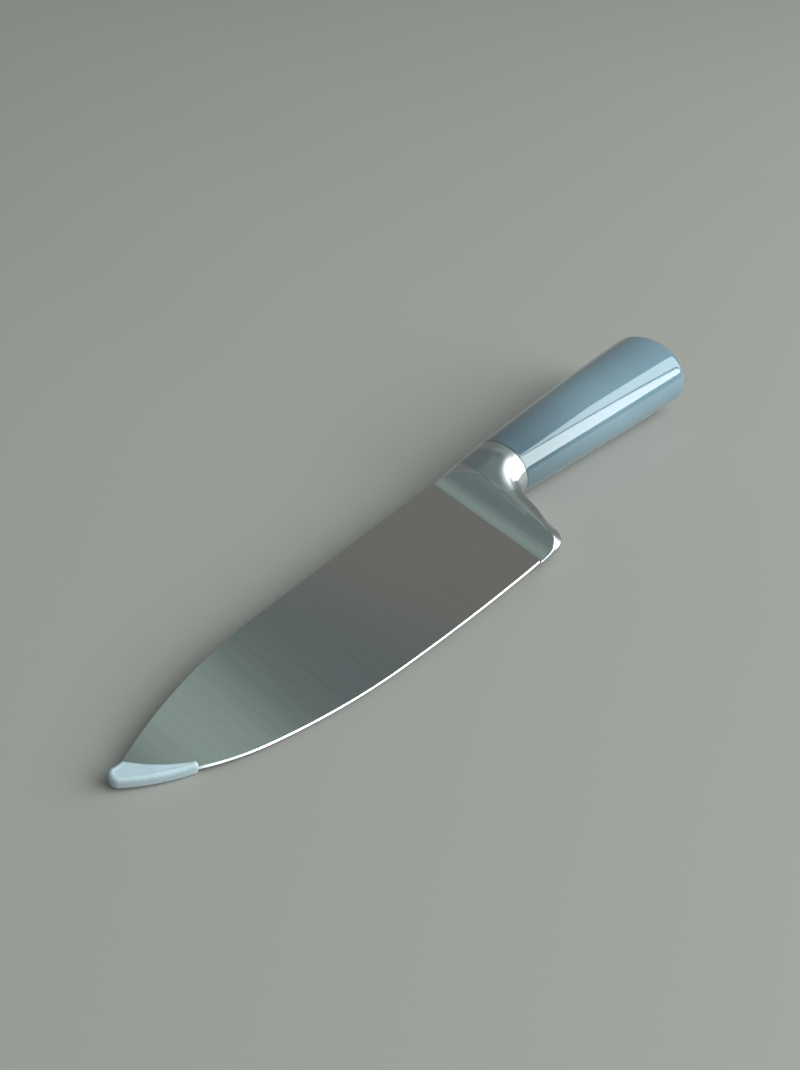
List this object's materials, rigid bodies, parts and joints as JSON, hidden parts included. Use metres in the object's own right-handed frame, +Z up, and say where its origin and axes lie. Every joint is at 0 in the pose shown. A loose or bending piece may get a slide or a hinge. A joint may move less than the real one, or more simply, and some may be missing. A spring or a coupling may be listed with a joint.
{
  "type": "chef knife",
  "caption": "Chef's knife with a ground steel blade, a smooth cast bolster that runs down to the heel, a rounded plastic handle and a soft pull-off guard on the tip.",
  "frame": {"origin": "on the surface the knife lies on, under the middle of the bounding box", "axes": "+X along the knife from the butt to the tip, +Y from the spine towards the cutting edge, +Z up from the surface; the knife lies on its side"},
  "size_m": [0.2824, 0.0494, 0.028],
  "materials": {
    "blade": "satin ground",
    "bolster": "fine satin, almost polished",
    "tang": "rolled, unfinished",
    "handle_core": "moulded",
    "handle_shell": "glossy",
    "tip_guard": "soft, milky translucent"
  },
  "bodies": {
    "knife": {"blade": "blade", "bolster": "bolster", "tang": "tang", "handle_core": "handle_core", "handle_shell": "handle_shell"},
    "guard": {"tip_guard": "tip_guard"}
  },
  "joints": [
    {"name": "guard_pull_off", "type": "slide", "parent": "knife", "child": "guard", "axis": [0.9665, -0.2568, 0], "range_m": [0, 0.025]}
  ]
}
